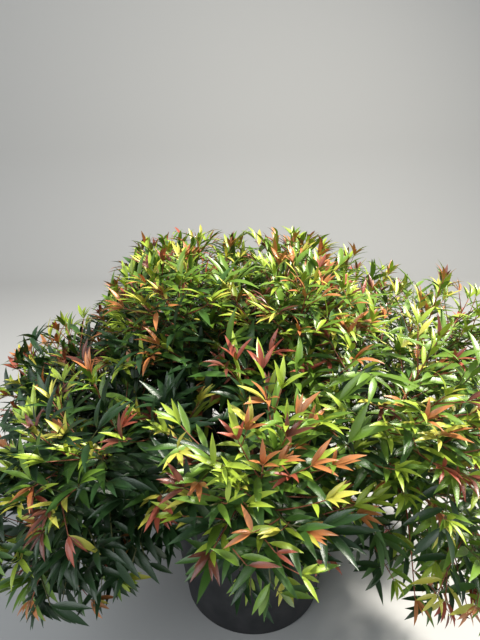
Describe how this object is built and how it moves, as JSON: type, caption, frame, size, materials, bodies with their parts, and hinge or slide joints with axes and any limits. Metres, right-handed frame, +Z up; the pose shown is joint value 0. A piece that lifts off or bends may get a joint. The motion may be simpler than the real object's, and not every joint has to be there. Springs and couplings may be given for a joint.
{
  "type": "potted leucothoe keiskei",
  "caption": "Low domed evergreen shrub of arching canes with narrow pointed leaves, growing in a plain round tapered nursery pot.",
  "frame": {"origin": "centre of the flat underside of the pot, on the pot's axis", "axes": "+Z up along the pot's axis; -Y is the front, the side seen in the picture; +X is to the right in the picture"},
  "size_m": [0.8059, 0.7168, 0.5867],
  "materials": {
    "pot_plastic": "moulded black polypropylene, dusty satin",
    "potting_mix": "coarse peat and bark, matt",
    "bark": "thin grey-brown bark, fine lengthwise ridges",
    "foliage": "glossy leathery leaves, deep green to lime, young ones bronze and coral"
  },
  "bodies": {
    "root": {"bough_hem_1": "bark", "bough_hem_2": "bark", "bough_hem_3": "bark", "bough_hem_4": "bark", "bough_hem_5": "bark", "bough_hem_6": "bark", "bough_shoulder_1": "bark", "bough_shoulder_2": "bark", "bough_shoulder_3": "bark", "bough_shoulder_4": "bark", "bough_shoulder_5": "bark", "bough_shoulder_6": "bark", "bough_shoulder_7": "bark", "bough_shoulder_8": "bark", "bough_top_1": "bark", "bough_top_2": "bark", "bough_top_3": "bark", "bough_top_4": "bark", "leaves_hem_1": "foliage", "leaves_hem_2": "foliage", "leaves_hem_3": "foliage", "leaves_hem_4": "foliage", "leaves_hem_5": "foliage", "leaves_hem_6": "foliage", "leaves_shoulder_1": "foliage", "leaves_shoulder_2": "foliage", "leaves_shoulder_3": "foliage", "leaves_shoulder_4": "foliage", "leaves_shoulder_5": "foliage", "leaves_shoulder_6": "foliage", "leaves_shoulder_7": "foliage", "leaves_shoulder_8": "foliage", "leaves_top_1": "foliage", "leaves_top_2": "foliage", "leaves_top_3": "foliage", "leaves_top_4": "foliage", "pot": "pot_plastic", "potting_mix": "potting_mix", "stem_base": "bark"}
  },
  "joints": []
}
